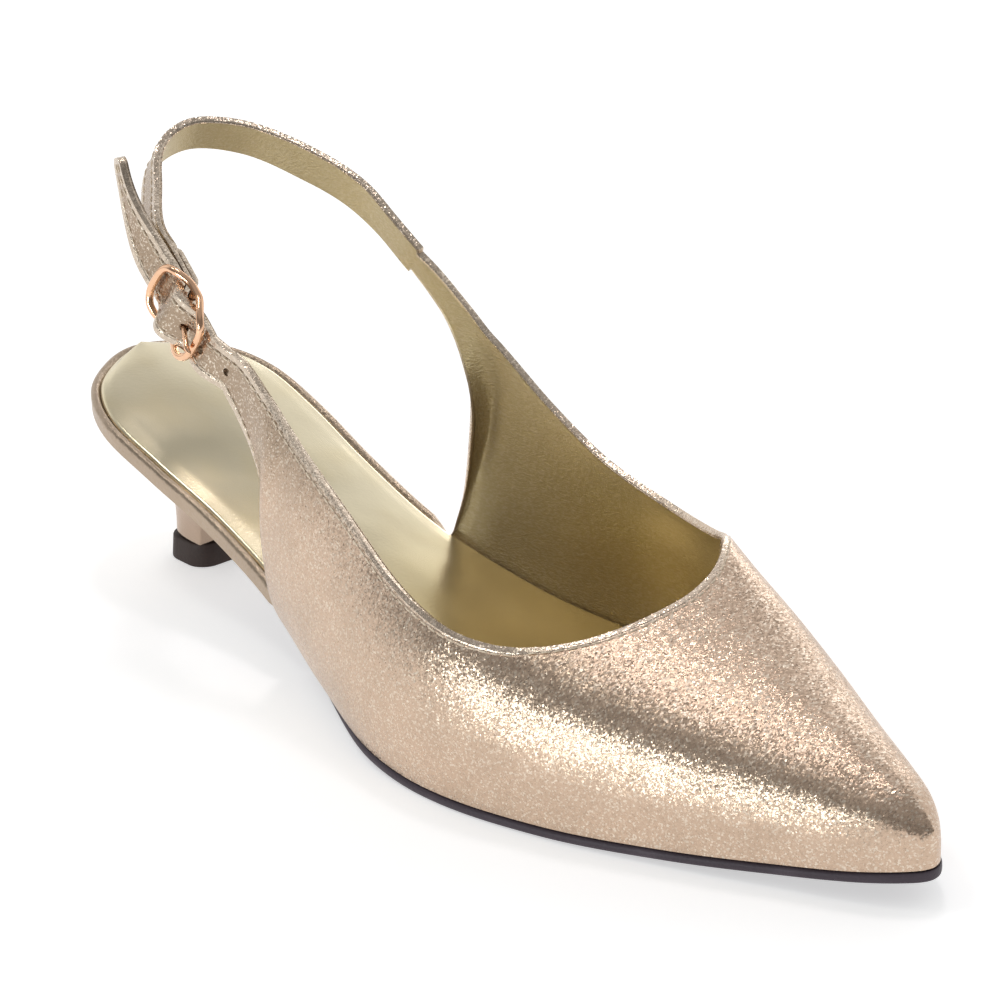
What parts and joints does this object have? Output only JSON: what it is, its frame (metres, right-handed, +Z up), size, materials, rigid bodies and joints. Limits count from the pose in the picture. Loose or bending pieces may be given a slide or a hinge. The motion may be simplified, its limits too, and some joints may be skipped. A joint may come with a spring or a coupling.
{
  "type": "kitten heel pump",
  "caption": "Right slingback pump with a pointed toe, low-cut vamp and side wings, a slim kitten heel and a buckled ankle sling.",
  "frame": {"origin": "on the floor, under the middle of the shoe's bounding box", "axes": "+Z up, -Y towards the toe, -X towards the lateral side of this right shoe"},
  "size_m": [0.0804, 0.2502, 0.1027],
  "materials": {
    "metallic_leather": "champagne metallic leather with a fine crosswise glitter",
    "heel_cover": "smooth gold leather pulled over the heel",
    "foil_sock": "pale gold foil leather over the insole board",
    "outsole_resin": "dark purple-brown moulded sole",
    "top_piece_resin": "dark brown hard top piece",
    "rose_gold": "polished rose gold wire"
  },
  "bodies": {
    "root": {"outsole": "outsole_resin", "insole": "foil_sock", "heel": "heel_cover", "heel_tip": "top_piece_resin", "upper": "metallic_leather", "buckle_frame": "rose_gold", "buckle_prong": "rose_gold", "buckle_strap": "metallic_leather", "sling_strap": "metallic_leather"}
  },
  "joints": []
}
